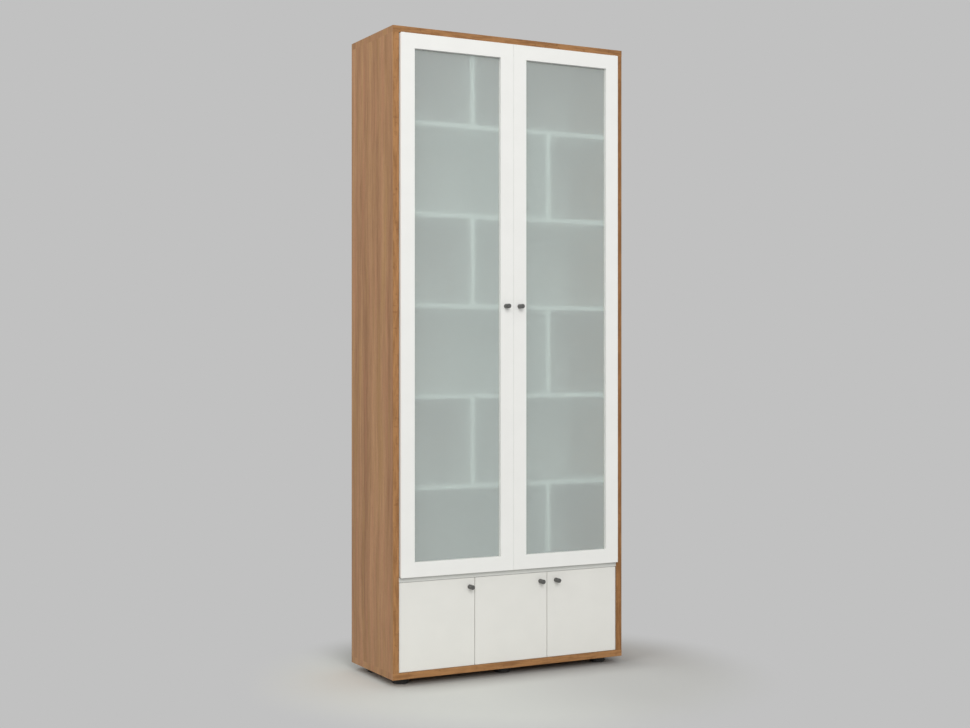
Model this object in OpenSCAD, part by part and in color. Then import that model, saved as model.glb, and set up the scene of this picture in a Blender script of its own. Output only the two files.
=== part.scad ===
// Tall bookcase on disc feet. A pair of framed glass doors closes six rows of shelving,
// and three plain doors close the cupboard below. Millimetres: X runs across the front,
// Y runs from the front to the back, Z runs up from the floor.

/* [Carcass] */
// Overall width
body_w = 900; // [880:1:1000]
// Depth of the outer boards
body_d = 350; // [330:1:420]
// Height of the carcass above its feet
body_h = 2172; // [2150:1:2250]
// Thickness of the outer boards
board_t = 22; // [19:0.5:25]
// Thickness of the shelves, dividers and other inner boards
inner_t = 16; // [16:0.5:19]
// Rounding of the boards' front edges
edge_r = 1; // [0.5:0.1:1.5]
// Thickness of the back panel
back_t = 8; // [5:0.5:10]
// Distance from the boards' back edges to the back panel
back_inset = 18; // [12:1:25]
// Depth of the groove that holds the back panel
groove_d = 6; // [4:0.5:8]

/* [Inside] */
// Distance that the shelves stand behind the front edges of the outer boards
shelf_setback = 12; // [12:0.5:18]
// Clear height of the lower cupboard
cupboard_h = 300; // [260:1:340]
// Clear height of the lowest shelf row
first_row_h = 287; // [270:1:292]
// Clear height of the rows above it but the top one, which takes what is left
row_h = 290; // [270:1:292]
// Distance of each divider from the middle of the bookcase
divider_x = 149; // [100:1:220]

/* [Upper doors] */
// Distance that the upper doors stand in front of the carcass
door_proud = 12.8; // [12:0.1:14]
// Thickness of the glass door frames
frame_t = 18; // [17:0.5:18.5]
// Width of the stiles and rails
frame_w = 50; // [46:1:60]
// Rounding of the frames' front edges
frame_r = 0.6; // [0.5:0.1:2]
// Distance from the front of the frame to the glass
glass_recess = 12; // [8:0.5:12]
// Thickness of the glass
glass_t = 4; // [3:0.5:4.5]
// Width of the rebate that holds the glass
rebate_w = 8; // [7:0.5:10]
// Length of the rails' tenons
tenon_l = 12; // [10:0.5:13]
// Thickness of the rails' tenons
tenon_t = 6; // [5:0.5:7]
// Height of the upper knobs above the carcass bottom
upper_knob_z = 1247; // [1100:1:1400]
// Distance of the left door's knob from its free edge
upper_left_knob_in = 31; // [18:0.5:34]
// Distance of the right door's knob from its free edge
upper_right_knob_in = 22; // [18:0.5:34]

/* [Lower doors] */
// Distance that the lower doors stand behind the carcass front
door_recess = 3.5; // [3:0.1:5]
// Thickness of the lower doors
panel_t = 18; // [16:0.5:19]
// Distance from a lower door's top edge to its knob
lower_knob_drop = 30; // [28:1:60]
// Distance of the left door's knob from its free edge
left_knob_in = 19.5; // [16:0.5:40]
// Distance of the middle door's knob from its free edge
middle_knob_in = 27; // [16:0.5:40]
// Distance of the right door's knob from its free edge
right_knob_in = 34; // [16:0.5:40]

/* [Door gaps] */
// Gap between a door and what stands beside it
door_gap = 2; // [1.9:0.1:3]
// Gap between a door's ends and the boards above and below it
end_gap = 1; // [1:0.1:2]
// Gap between the upper doors and the top board
top_gap = 1; // [1:0.1:2]
// Gap between the two upper doors
meeting_gap = 0.5; // [0.5:0.1:2]

/* [Hinges] */
// Distance of the hinge axis from the door's hinged edge
pivot_in = 12; // [11:0.5:13]
// Distance of the hinge axis from the door's front face
pivot_back = 6.5; // [6.3:0.1:6.8]
// Thickness of the hinge leaves
leaf_t = 2; // [1.8:0.1:2.5]
// Width of the hinge leaves
leaf_w = 9; // [8.5:0.1:9.5]
// Length of the carcass leaves behind the hinge axis
carcass_leaf_l = 50; // [48:1:56]
// Length of the door leaves beside the hinge axis
door_leaf_l = 29; // [28:0.5:34]
// Diameter of the hinge pins
pin_d = 5; // [4:0.5:5.5]
// Length of the hinge pins below the door leaves
pin_l = 9; // [6:0.5:14]
// Space between the two leaves of a hinge, filled by the washer
leaf_gap = 0.5; // [0.4:0.1:0.8]
// How far the doors open, in degrees
door_turn = 95; // [90:1:95]

/* [Knobs and catches] */
// Diameter of the knobs
knob_d = 15.5; // [14:0.5:22]
// Length of the knobs
knob_l = 27; // [16:0.5:32]
// Rounding of the knobs' front edge
knob_r = 2; // [1:0.1:3]
// Height of the seat that a knob stands on
knob_seat_t = 0.8; // [0.5:0.1:2]
// Diameter of the knob screws
knob_screw_d = 4; // [3:0.5:5]
// Length of the magnetic catches
catch_l = 40; // [36:1:44]
// Depth of the magnetic catches
catch_d = 15; // [12:0.5:18]
// Height of the magnetic catches
catch_h = 16; // [14:0.5:18]
// Distance of the catches' middle from the doors' free edges
catch_in = 30; // [29:0.5:34]

/* [Feet] */
// Diameter of the feet
foot_d = 55; // [45:1:70]
// Height of the feet
foot_h = 25; // [18:1:40]
// Distance of the outer feet's middle from the sides
foot_side = 60; // [40:1:90]
// Distance of the feet's middle from the front and the back
foot_end = 70; // [50:1:100]

/* [Fittings] */
// Distance of the outermost cam bolts from the shelves' front and back edges
joint_in = 60; // [56:1:80]
// Distance between a cam bolt and its dowel
dowel_step = 32; // [24:1:40]
// Diameter of the dowels
dowel_d = 8; // [6:0.5:8]
// Diameter of the cam discs
cam_d = 15; // [12:0.5:16]
// Distance of the cam discs' middle from the board's end
cam_in = 24; // [22:0.5:34]
// Diameter of the wood screws
screw_d = 3.2; // [2.8:0.1:3.6]
// Diameter of the wood screws' heads
screw_head_d = 6.6; // [6:0.1:7.2]

/* [Hidden] */
$fn = 48;
sliver = 0.01;          // overlap that keeps a cut from ending on a face
fit = 0.05;             // clearance round whatever sits in a bore
seat_gap = 0.2;         // clearance round whatever sits in a mortise or groove
pane_gap = 1;           // clearance round the glass in its rebate
catch_gap = 0.3;        // air between a catch and its strike
partition_gap = 0.5;    // clearance between the partition and the hinge leaf beside it
sweep_gap = 0.3;        // clearance round a carcass leaf in the moving door
corner_room = 6.5;      // room behind the lower doors for their turning corners
tenon_shoulder = 9;     // height of the rails' shoulders above and below a tenon
catch_flange = 3;       // thickness of the catches' two flanges
catch_ear = 8;          // length of each flange
catch_corner = 3;       // rounding of the flanges' corners
catch_edge = 1;         // rounding of the catches' upright edges
pole_t = 1.5;           // thickness of the two poles in a catch's face
pole_step = 3.5;        // distance of the poles from the middle of the face
pole_inset = 3;         // distance of the poles' ends from the ends of the face
pole_proud = 0.3;       // how far the poles stand out of the face
knob_seat_in = 0.8;     // how far a knob's seat lies inside its outline
rows = 6;

// The screws: heads are as deep as a leaf is thick, and lengths are counted below the head.
leaf_screw_l = 7;
door_screw_l = 16;
strike_l = 12;
strike_d = 10;
strike_t = 1.2;
knob_screw_head_d = 8;
knob_screw_head_t = 2.4;
knob_bite = 10;
foot_screw_head_d = 10;
foot_screw_head_t = 3;
foot_screw_bite = 16;
foot_chamfer = 1.5;

// Cam bolts, cams and dowels.
bolt_thread_d = 5;
bolt_thread_l = 10;
bolt_shank_d = 6;
bolt_neck_d = 4;
bolt_head_d = 6.4;
bolt_head_l = 2;
bolt_way_d = 8;
cam_over = 4.2;
dowel_in_panel = 10;
dowel_in_board = 18;
divider_dowel_l = 26;
divider_dowel_in = inner_t / 2 - 1;

// Where the carcass stands: the part's origin is on the floor below the middle of its box.
front_y = -(body_d - door_proud - knob_l) / 2;
inner_x = body_w / 2 - board_t;
back_y = body_d - back_inset - back_t;
middle_z = board_t + cupboard_h;
middle_top = middle_z + inner_t;
ceiling_z = body_h - board_t;
joint_ys = [shelf_setback + joint_in, back_y - joint_in];
joint_turns = [1, -1];
partition_y = door_recess + panel_t + corner_room;

// The doors, each in its own frame: X from the hinge axis towards the free edge,
// Y from the hinge axis backwards, Z up from the door's bottom edge.
upper_w = inner_x - door_gap - meeting_gap / 2;
upper_z = middle_top + end_gap;
upper_h = ceiling_z - top_gap - upper_z;
rail_l = upper_w - 2 * frame_w;
lower_w = (2 * inner_x - 4 * door_gap) / 3;
lower_z = board_t + end_gap;
lower_h = cupboard_h - 2 * end_gap;
upper_pivot_x = inner_x - door_gap - pivot_in;
upper_pivot_y = pivot_back - door_proud;
lower_pivot_y = door_recess + pivot_back;
middle_edge_x = -inner_x + 2 * door_gap + lower_w;
partition_x = middle_edge_x + pivot_in - leaf_w / 2 - partition_gap - inner_t / 2;

UPPER_LEFT = 0;
UPPER_RIGHT = 1;
LOWER_LEFT = 2;
LOWER_MIDDLE = 3;
LOWER_RIGHT = 4;
DOORS = [UPPER_LEFT, UPPER_RIGHT, LOWER_LEFT, LOWER_MIDDLE, LOWER_RIGHT];

function is_upper(d) = d == UPPER_LEFT || d == UPPER_RIGHT;
function is_flipped(d) = d == UPPER_RIGHT || d == LOWER_RIGHT;
function pivot_x(d) = d == LOWER_MIDDLE ? middle_edge_x + pivot_in
                    : (is_flipped(d) ? 1 : -1) * upper_pivot_x;
function pivot_y(d) = is_upper(d) ? upper_pivot_y : lower_pivot_y;
function door_w(d) = is_upper(d) ? upper_w : lower_w;
function door_h(d) = is_upper(d) ? upper_h : lower_h;
function door_z(d) = is_upper(d) ? upper_z : lower_z;
function door_t(d) = is_upper(d) ? frame_t : panel_t;
function gap_above(d) = is_upper(d) ? top_gap : end_gap;
function knob_in(d) = d == UPPER_LEFT ? upper_left_knob_in
                    : d == UPPER_RIGHT ? upper_right_knob_in
                    : d == LOWER_LEFT ? left_knob_in
                    : d == LOWER_MIDDLE ? middle_knob_in : right_knob_in;
function knob_z(d) = is_upper(d) ? upper_knob_z - upper_z : lower_h - lower_knob_drop;

function row_floor(r) = r == 0 ? middle_top
                      : middle_top + first_row_h + inner_t + (r - 1) * (row_h + inner_t);
function row_ceiling(r) = r == rows - 1 ? ceiling_z : row_floor(r + 1) - inner_t;
function row_divider_x(r) = r % 2 == 0 ? divider_x : -divider_x;

// ---- Places ----

// From the carcass's own frame, front plane and underside at zero, to the part's frame.
module in_carcass() {
    translate([0, front_y, foot_h]) children();
}

module both_sides() {
    for (s = [0, 1]) mirror([s, 0, 0]) children();
}

// A door's own frame, in the carcass. Doors hung on the right are mirrored.
module at_door(d) {
    translate([pivot_x(d), pivot_y(d), door_z(d)])
        mirror([is_flipped(d) ? 1 : 0, 0, 0]) children();
}

// A door's two ends: Z is zero on the end face and points away from the door.
// $gap is the gap between that end and the board it turns under or over.
module at_door_ends(d) {
    translate([0, 0, door_h(d)]) {
        $gap = gap_above(d);
        children();
    }
    mirror([0, 0, 1]) {
        $gap = end_gap;
        children();
    }
}

// The middles of the two screws along a carcass leaf and along a door leaf.
module at_leaf_screws() {
    for (y = [carcass_leaf_l - 24, carcass_leaf_l - 8]) translate([0, y, 0]) children();
}
module at_door_leaf_screws(d) {
    for (x = [door_leaf_l - 18, door_leaf_l - 7]) translate([x, leaf_mid_y(d), 0]) children();
}
function leaf_mid_y(d) = door_t(d) / 2 - pivot_back;

// The back face of a door at its strike, and its catch, with Z down from the board's underside.
module at_catch(d) {
    translate([door_w(d) - pivot_in - catch_in, door_t(d) - pivot_back, door_h(d) + gap_above(d)])
        mirror([0, 0, 1]) children();
}

module at_knob(d) {
    translate([door_w(d) - pivot_in - knob_in(d), -pivot_back, knob_z(d)]) rotate([90, 0, 0])
        children();
}

module at_feet() {
    for (x = [foot_side - body_w / 2, 0, body_w / 2 - foot_side], y = [foot_end, body_d - foot_end])
        translate([x, y, 0]) children();
}

// Board joints. In each frame X runs from the panel that is drilled into the board that
// ends on it, Z is the board's thickness with its cams opening towards -Z, and $side
// turns the dowel towards the middle of the board's edge. $t is the board's thickness.
module at_joint_pair(t) {
    for (i = [0, 1]) translate([0, joint_ys[i], 0]) {
        $turn = joint_turns[i];
        $t = t;
        children();
    }
}

// The end of a level board on the left side panel.
module at_level_end(mid_z) {
    translate([-inner_x, 0, mid_z]) at_joint_pair(inner_t) children();
}

// The upper and lower end of an upright board whose middle is at x. The cams open
// towards +X for face = 1 and towards -X for face = -1.
module at_upright_ends(x, bottom_z, top_z, face, t) {
    translate([x, 0, bottom_z]) at_joint_pair(t)
        rotate([0, -90, 0]) mirror([0, 0, face > 0 ? 0 : 1]) children();
    translate([x, 0, top_z]) at_joint_pair(t)
        rotate([0, 90, 0]) mirror([0, 0, face > 0 ? 1 : 0]) children();
}

module at_side_ends() {
    at_upright_ends(-inner_x - board_t / 2, board_t, ceiling_z, 1, board_t) children();
}

module at_partition_ends() {
    at_upright_ends(partition_x, board_t, middle_z, -1, inner_t) children();
}

// The dowels at a divider's two ends, with Z from the shelf into the divider.
module at_divider_floor(r) {
    translate([row_divider_x(r), 0, row_floor(r)])
        for (y = joint_ys) translate([0, y, 0]) children();
}
module at_divider_ceiling(r) {
    translate([row_divider_x(r), 0, row_ceiling(r)]) mirror([0, 0, 1])
        for (y = joint_ys) translate([0, y, 0]) children();
}

// ---- Cuts and fittings that several boards share ----

module rod(d, from, to) {
    translate([0, 0, from]) cylinder(d = d, h = to - from);
}

module x_rod(d, from, to) {
    rotate([0, 90, 0]) rod(d, from, to);
}

// What a joint takes out of the panel that is drilled.
module panel_bores() {
    x_rod(bolt_thread_d + 2 * fit, -bolt_thread_l - 1, sliver);
    translate([0, $turn * dowel_step, 0]) x_rod(dowel_d + 2 * fit, -dowel_in_panel - 1, sliver);
}

// What a joint takes out of the board that ends on it.
module board_bores() {
    x_rod(bolt_way_d, -sliver, cam_in);
    translate([cam_in, 0, 0]) rod(cam_d + 2 * fit, -$t / 2 - sliver, cam_over + 0.3);
    translate([0, $turn * dowel_step, 0]) x_rod(dowel_d + 2 * fit, -sliver, dowel_in_board + 1);
}

module cam_bolt() {
    neck_x = cam_in - cam_d / 2 - 0.5;
    head_x = cam_in - bolt_head_l - 0.5;
    x_rod(bolt_thread_d, -bolt_thread_l, 0);
    x_rod(bolt_shank_d, 0, neck_x);
    x_rod(bolt_neck_d, neck_x, head_x);
    x_rod(bolt_head_d, head_x, head_x + bolt_head_l);
}

// The disc's slot lets the bolt's neck in, and its hollow holds the bolt's head.
module cam_disc() {
    grip_x = -bolt_head_l - 0.5 - fit;
    translate([cam_in, 0, 0]) difference() {
        rod(cam_d, -$t / 2, cam_over);
        x_rod(bolt_neck_d + 6 * fit, -cam_d / 2 - 1, 0);
        x_rod(bolt_head_d + 6 * fit, grip_x, 1);
        for (turn = [0, 90]) translate([0, 0, -$t / 2]) rotate(turn)
            cube([7, 1.4, 3], center = true);
    }
}

module joint_dowel() {
    translate([0, $turn * dowel_step, 0]) x_rod(dowel_d, -dowel_in_panel, dowel_in_board);
}

module divider_dowel() {
    rod(dowel_d, -divider_dowel_in, divider_dowel_l - divider_dowel_in);
}

module divider_bore() {
    rod(dowel_d + 2 * fit, -divider_dowel_in - 0.5, divider_dowel_l - divider_dowel_in + 1);
}

// A countersunk screw pointing along +Z, its head's face at zero, and the hole for it.
module countersunk(length, grow = 0) {
    cylinder(d1 = screw_head_d + 2 * grow, d2 = screw_d + 2 * grow, h = leaf_t);
    rod(screw_d + 2 * grow, 0, leaf_t + length + grow);
}

// A board's section with rounded front edges: depth along X, thickness along Y.
module board_section(depth, t, r) {
    translate([r, 0]) square([depth - r, t]);
    translate([0, r]) square([depth, t - 2 * r]);
    for (y = [r, t - r]) translate([r, y]) circle(r);
}

// A rectangle with rounded corners: x from -w/2 to w/2, y from 0 to d.
module rounded_rect(w, d, r) {
    translate([-w / 2, r]) square([w, d - 2 * r]);
    translate([r - w / 2, 0]) square([w - 2 * r, d]);
    for (x = [r - w / 2, w / 2 - r], y = [r, d - r]) translate([x, y]) circle(r);
}

// What rounding an edge takes away. The edge stands at x = 0, y = 0, and the piece lies
// on its side where x is negative and y positive.
module edge_rounding(length, r) {
    linear_extrude(length) difference() {
        translate([-r, -sliver]) square(r + sliver);
        translate([-r, r]) circle(r);
    }
}

// A level board: x from -w/2 to w/2, y from 0 backwards, z from 0 up.
module level_board(w, depth, t) {
    translate([-w / 2, 0, 0]) rotate([90, 0, 90]) linear_extrude(w)
        board_section(depth, t, edge_r);
}

// An upright board: its middle at x = 0, y from 0 backwards, z from 0 up.
module upright_board(h, depth, t) {
    translate([-t / 2, 0, 0]) linear_extrude(h) mirror([1, -1, 0])
        board_section(depth, t, edge_r);
}

// The groove that takes the back panel, cut into a face at z = 0 that looks along +Z.
module back_groove(w) {
    translate([-w / 2, back_y - seat_gap / 2, -groove_d])
        cube([w, back_t + seat_gap, groove_d + sliver]);
}

// ---- Carcass ----

module side_panel() {
    color([0.61, 0.47, 0.35]) in_carcass() difference() {
        translate([-inner_x - board_t / 2, 0, board_t])
            upright_board(ceiling_z - board_t, body_d, board_t);
        translate([-inner_x, 0, body_h / 2]) rotate([0, 90, 0]) back_groove(body_h);
        at_side_ends() board_bores();
        at_level_end(middle_z + inner_t / 2) panel_bores();
        for (r = [0 : rows - 2]) at_level_end(row_ceiling(r) + inner_t / 2) panel_bores();
    }
}
module left_side_panel() side_panel();
module right_side_panel() mirror([1, 0, 0]) side_panel();

module top_board() {
    color([0.62, 0.47, 0.33]) in_carcass() difference() {
        translate([0, 0, ceiling_z]) level_board(body_w, body_d, board_t);
        translate([0, 0, ceiling_z]) mirror([0, 0, 1]) back_groove(2 * (inner_x + groove_d));
        both_sides() at_side_ends() panel_bores();
        at_divider_ceiling(rows - 1) divider_bore();
        for (d = [UPPER_LEFT, UPPER_RIGHT]) at_door(d) board_screw_holes(d, above = true);
    }
}

module bottom_board() {
    color([0.6, 0.45, 0.3]) in_carcass() difference() {
        level_board(body_w, body_d, board_t);
        translate([0, 0, board_t]) back_groove(2 * (inner_x + groove_d));
        both_sides() at_side_ends() panel_bores();
        at_partition_ends() panel_bores();
        at_feet() rod(screw_d + 1 + 2 * fit, -sliver, foot_screw_bite + 1);
        for (d = [LOWER_LEFT, LOWER_MIDDLE, LOWER_RIGHT]) at_door(d)
            board_screw_holes(d, above = false);
    }
}

module back_panel() {
    in_groove = groove_d - seat_gap;
    color([0.9, 0.9, 0.88]) in_carcass()
        translate([-inner_x - in_groove, back_y, board_t - in_groove])
            cube([2 * (inner_x + in_groove), back_t, ceiling_z - board_t + 2 * in_groove]);
}

// The middle board ends in front where the lower doors' faces do.
module middle_board() {
    color([0.84, 0.84, 0.81]) in_carcass() difference() {
        translate([0, door_recess, middle_z])
            level_board(2 * inner_x, back_y - door_recess, inner_t);
        both_sides() at_level_end(middle_z + inner_t / 2) board_bores();
        at_partition_ends() panel_bores();
        at_divider_floor(0) divider_bore();
        for (d = [UPPER_LEFT, UPPER_RIGHT]) at_door(d) board_screw_holes(d, above = false);
        for (d = [LOWER_LEFT, LOWER_MIDDLE, LOWER_RIGHT]) at_door(d)
            board_screw_holes(d, above = true);
    }
}

module lower_partition() {
    color([0.84, 0.84, 0.81]) in_carcass() difference() {
        translate([partition_x, partition_y, board_t])
            upright_board(cupboard_h, back_y - partition_y, inner_t);
        at_partition_ends() board_bores();
    }
}

// Shelf n lies over row n - 1, counted from the middle board up.
module shelf(n) {
    color([0.86, 0.86, 0.83]) in_carcass() difference() {
        translate([0, shelf_setback, row_ceiling(n - 1)])
            level_board(2 * inner_x, back_y - shelf_setback, inner_t);
        both_sides() at_level_end(row_ceiling(n - 1) + inner_t / 2) board_bores();
        at_divider_ceiling(n - 1) divider_bore();
        at_divider_floor(n) divider_bore();
    }
}

// Divider n stands in row n - 1.
module divider(n) {
    color([0.86, 0.86, 0.83]) in_carcass() difference() {
        translate([row_divider_x(n - 1), shelf_setback, row_floor(n - 1)])
            upright_board(row_ceiling(n - 1) - row_floor(n - 1), back_y - shelf_setback, inner_t);
        at_divider_floor(n - 1) divider_bore();
        at_divider_ceiling(n - 1) divider_bore();
    }
}

module at_all_joints() {
    both_sides() {
        at_side_ends() children();
        at_level_end(middle_z + inner_t / 2) children();
        for (r = [0 : rows - 2]) at_level_end(row_ceiling(r) + inner_t / 2) children();
    }
    at_partition_ends() children();
}

module cam_discs() {
    color("silver") in_carcass() at_all_joints() cam_disc();
}

module cam_bolts() {
    color("gold") in_carcass() at_all_joints() cam_bolt();
}

module dowels() {
    color("burlywood") in_carcass() {
        at_all_joints() joint_dowel();
        for (r = [0 : rows - 1]) {
            at_divider_floor(r) divider_dowel();
            at_divider_ceiling(r) divider_dowel();
        }
    }
}

// A disc foot with a sunk screw, its face on the floor.
module feet() {
    color([0.12, 0.12, 0.12]) in_carcass() at_feet() mirror([0, 0, 1]) difference() {
        union() {
            rod(foot_d, 0, foot_h - foot_chamfer);
            translate([0, 0, foot_h - foot_chamfer])
                cylinder(d1 = foot_d, d2 = foot_d - 2 * foot_chamfer, h = foot_chamfer);
        }
        rod(screw_d + 1 + 2 * fit, -sliver, foot_h);
        rod(foot_screw_head_d + 2, foot_h / 2, foot_h + sliver);
    }
}

module foot_screws() {
    color("silver") in_carcass() at_feet() {
        rod(screw_d + 1, -foot_h / 2, foot_screw_bite);
        rod(foot_screw_head_d, -foot_h / 2 - foot_screw_head_t, -foot_h / 2);
    }
}

// ---- Hinges ----

module carcass_leaf_shape(grow = 0) {
    circle(d = leaf_w + 2 * grow);
    translate([-leaf_w / 2 - grow, 0]) square([leaf_w + 2 * grow, carcass_leaf_l + grow]);
}

// The door leaf's eye lies round the hinge axis, and its strip in the middle of the edge.
module door_leaf_shape(d, grow = 0) {
    circle(d = leaf_w + 2 * grow);
    translate([0, leaf_mid_y(d) - leaf_w / 2 - grow])
        square([door_leaf_l + grow, leaf_w + 2 * grow]);
}

module carcass_leaf() {
    translate([0, 0, $gap - leaf_t]) difference() {
        linear_extrude(leaf_t) carcass_leaf_shape();
        rod(pin_d, -sliver, leaf_t + sliver);
        at_leaf_screws() translate([0, 0, -sliver]) countersunk(leaf_screw_l, fit);
    }
}

module door_leaf(d) {
    translate([0, 0, $gap - 2 * leaf_t - leaf_gap]) difference() {
        linear_extrude(leaf_t) door_leaf_shape(d);
        rod(pin_d + 2 * fit, -sliver, leaf_t + sliver);
        translate([0, 0, leaf_t + sliver]) mirror([0, 0, 1]) at_door_leaf_screws(d)
            countersunk(door_screw_l, fit);
    }
}

// The pin is riveted into the carcass leaf.
module hinge_pin() {
    rod(pin_d, $gap - 2 * leaf_t - leaf_gap - pin_l, $gap);
}

module hinge_washer() {
    translate([0, 0, $gap - leaf_t]) difference() {
        rod(leaf_w, fit - leaf_gap, 0);
        rod(pin_d + 2 * fit, -leaf_gap, sliver);
    }
}

// What a hinge takes out of the door's end. The shallow cut lets the carcass leaf
// turn from pointing backwards to pointing past the hinged edge.
module hinge_cuts(d) {
    far = 2 * pivot_in;
    room = leaf_w / 2 + sweep_gap;
    floor_z = $gap - leaf_t - leaf_gap;
    translate([0, 0, floor_z]) linear_extrude(far) {
        translate([-far, -room]) square([far + room, room + door_t(d)]);
        rotate(door_turn - 90) translate([-far, -room]) square([far, 2 * room]);
    }
    translate([0, 0, floor_z - leaf_t]) linear_extrude(far) door_leaf_shape(d, fit);
    rod(pin_d + 2, floor_z - leaf_t - pin_l - 1, 0);
    translate([0, 0, floor_z]) mirror([0, 0, 1]) at_door_leaf_screws(d)
        countersunk(door_screw_l, fit);
}
module hinge_screws(d) {
    translate([0, 0, $gap - leaf_t - leaf_gap]) mirror([0, 0, 1]) at_door_leaf_screws(d)
        countersunk(door_screw_l);
}

// ---- Catches ----

// In the catch's frame Y is zero on the door's back face and Z on the board's underside.
// The strike meets two poles that stand a little out of the housing's face.
module catch_body() {
    pole_y = strike_t + catch_gap;
    housing_d = catch_d - pole_proud;
    block_l = catch_l - 2 * catch_ear;
    pole_l = block_l - 2 * pole_inset;
    difference() {
        union() {
            translate([0, pole_y + pole_proud, 0]) {
                linear_extrude(catch_h) rounded_rect(block_l, housing_d, catch_edge);
                linear_extrude(catch_flange) rounded_rect(catch_l, housing_d, catch_corner);
            }
            for (s = [-1, 1]) translate([-pole_l / 2, pole_y, catch_h / 2 + s * pole_step - pole_t / 2])
                cube([pole_l, catch_d / 2, pole_t]);
        }
        at_catch_screws() rod(screw_d + 2 * fit, -sliver, catch_flange + sliver);
    }
}

module at_catch_screws() {
    for (x = [-1, 1] * (catch_l - catch_ear) / 2)
        translate([x, strike_t + catch_gap + catch_d / 2, 0]) children();
}

module catch_screw() {
    rod(screw_d, -leaf_screw_l, catch_flange);
    rod(screw_head_d, catch_flange, catch_flange + leaf_t);
}

// The screw holes that a door's hinge and catch need in the board above or below it.
module board_screw_holes(d, above) {
    if (above) {
        translate([0, 0, door_h(d) + gap_above(d) - leaf_t]) at_leaf_screws()
            countersunk(leaf_screw_l, fit);
        at_catch(d) at_catch_screws() rod(screw_d + 2 * fit, -leaf_screw_l - fit, sliver);
    } else {
        translate([0, 0, leaf_t - end_gap]) mirror([0, 0, 1]) at_leaf_screws()
            countersunk(leaf_screw_l, fit);
    }
}

module carcass_hinge_leaves() {
    color("silver") in_carcass() for (d = DOORS) at_door(d) at_door_ends(d) carcass_leaf();
}

module hinge_pins() {
    color("gray") in_carcass() for (d = DOORS) at_door(d) at_door_ends(d) hinge_pin();
}

module hinge_washers() {
    color("white") in_carcass() for (d = DOORS) at_door(d) at_door_ends(d) hinge_washer();
}

module magnetic_catches() {
    color("white") in_carcass() for (d = DOORS) at_door(d) at_catch(d) catch_body();
}

module carcass_screws() {
    color("silver") in_carcass() for (d = DOORS) at_door(d) {
        at_door_ends(d) translate([0, 0, $gap - leaf_t]) at_leaf_screws()
            countersunk(leaf_screw_l);
        at_catch(d) at_catch_screws() catch_screw();
    }
}

// ---- What every door has ----

module knob(d) {
    color([0.31, 0.31, 0.3]) in_carcass() at_door(d) at_knob(d) difference() {
        rotate_extrude() {
            square([knob_d / 2 - knob_seat_in, knob_seat_t]);
            translate([0, knob_seat_t]) {
                square([knob_d / 2, knob_l - knob_r - knob_seat_t]);
                square([knob_d / 2 - knob_r, knob_l - knob_seat_t]);
            }
            translate([knob_d / 2 - knob_r, knob_l - knob_r]) intersection() {
                circle(knob_r);
                square(knob_r);
            }
        }
        rod(knob_screw_d + 2 * fit, -sliver, knob_bite + 1);
    }
}

module door_hinge_leaves(d) {
    color("silver") in_carcass() at_door(d) at_door_ends(d) door_leaf(d);
}

module door_screws(d) {
    color("silver") in_carcass() at_door(d) {
        at_door_ends(d) hinge_screws(d);
        at_knob(d) {
            rod(knob_screw_d, -door_t(d), knob_bite);
            rod(knob_screw_head_d, -door_t(d) - knob_screw_head_t, -door_t(d));
        }
        at_catch(d) translate([0, 0, catch_h / 2]) rotate([90, 0, 0]) {
            rod(screw_d, 0, strike_l);
            rod(strike_d, -strike_t, 0);
        }
    }
}

// What the fittings take out of a door.
module door_cuts(d) {
    at_door_ends(d) hinge_cuts(d);
    at_knob(d) rod(knob_screw_d + 2 * fit, -door_t(d) - sliver, sliver);
    at_catch(d) translate([0, 0, catch_h / 2]) rotate([90, 0, 0])
        rod(screw_d + 2 * fit, -sliver, strike_l + fit);
}

// ---- Upper doors ----

// From the door's frame to its outline: x and y zero on its hinged edge and front face.
module from_corner() {
    translate([-pivot_in, -pivot_back, 0]) children();
}

// A stile standing with its outer edge at x = 0, front face at y = 0. Its outer edge and
// both ends are rounded in front, and its inner edge is between the rails. The section is
// made wider than the stile, so that it has no rounding where a rail meets it. The rebate
// stops where the rails' rebates meet it.
module stile(h) {
    rail_end = frame_w - rebate_w;
    difference() {
        intersection() {
            linear_extrude(h) mirror([1, -1, 0]) board_section(frame_t, 2 * frame_w, frame_r);
            rotate([90, 0, 90]) linear_extrude(frame_w) board_section(frame_t, h, frame_r);
        }
        translate([frame_w, 0, frame_w]) edge_rounding(h - 2 * frame_w, frame_r);
        translate([rail_end, glass_recess, rail_end])
            cube([rebate_w + sliver, frame_t, h - 2 * rail_end]);
        for (end = [0, 1]) translate([frame_w, 0, end * h]) mirror([0, 0, end])
            tenon(seat_gap / 2);
    }
}

// The tenon of a rail that lies at z = 0 and up, entering a stile towards -X.
module tenon(grow = 0) {
    height = frame_w - rebate_w - 2 * tenon_shoulder;
    translate([-tenon_l - grow, frame_t / 2 - tenon_t / 2 - grow, tenon_shoulder - grow])
        cube([tenon_l + 2 * grow, tenon_t + 2 * grow, height + 2 * grow]);
}

// A bottom rail between two stiles, x from 0 to w. Its rebate looks up.
module rail(w) {
    difference() {
        rotate([90, 0, 90]) linear_extrude(w) board_section(frame_t, frame_w, frame_r);
        translate([-sliver, glass_recess, frame_w - rebate_w])
            cube([w + 2 * sliver, frame_t, rebate_w + sliver]);
    }
    tenon();
    translate([w, 0, 0]) mirror([1, 0, 0]) tenon();
}
module hinge_stile(d) {
    color([0.94, 0.94, 0.92]) in_carcass() at_door(d) difference() {
        from_corner() stile(upper_h);
        door_cuts(d);
    }
}

module meeting_stile(d) {
    color([0.94, 0.94, 0.92]) in_carcass() at_door(d) difference() {
        from_corner() translate([upper_w, 0, 0]) mirror([1, 0, 0]) stile(upper_h);
        door_cuts(d);
    }
}

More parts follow.
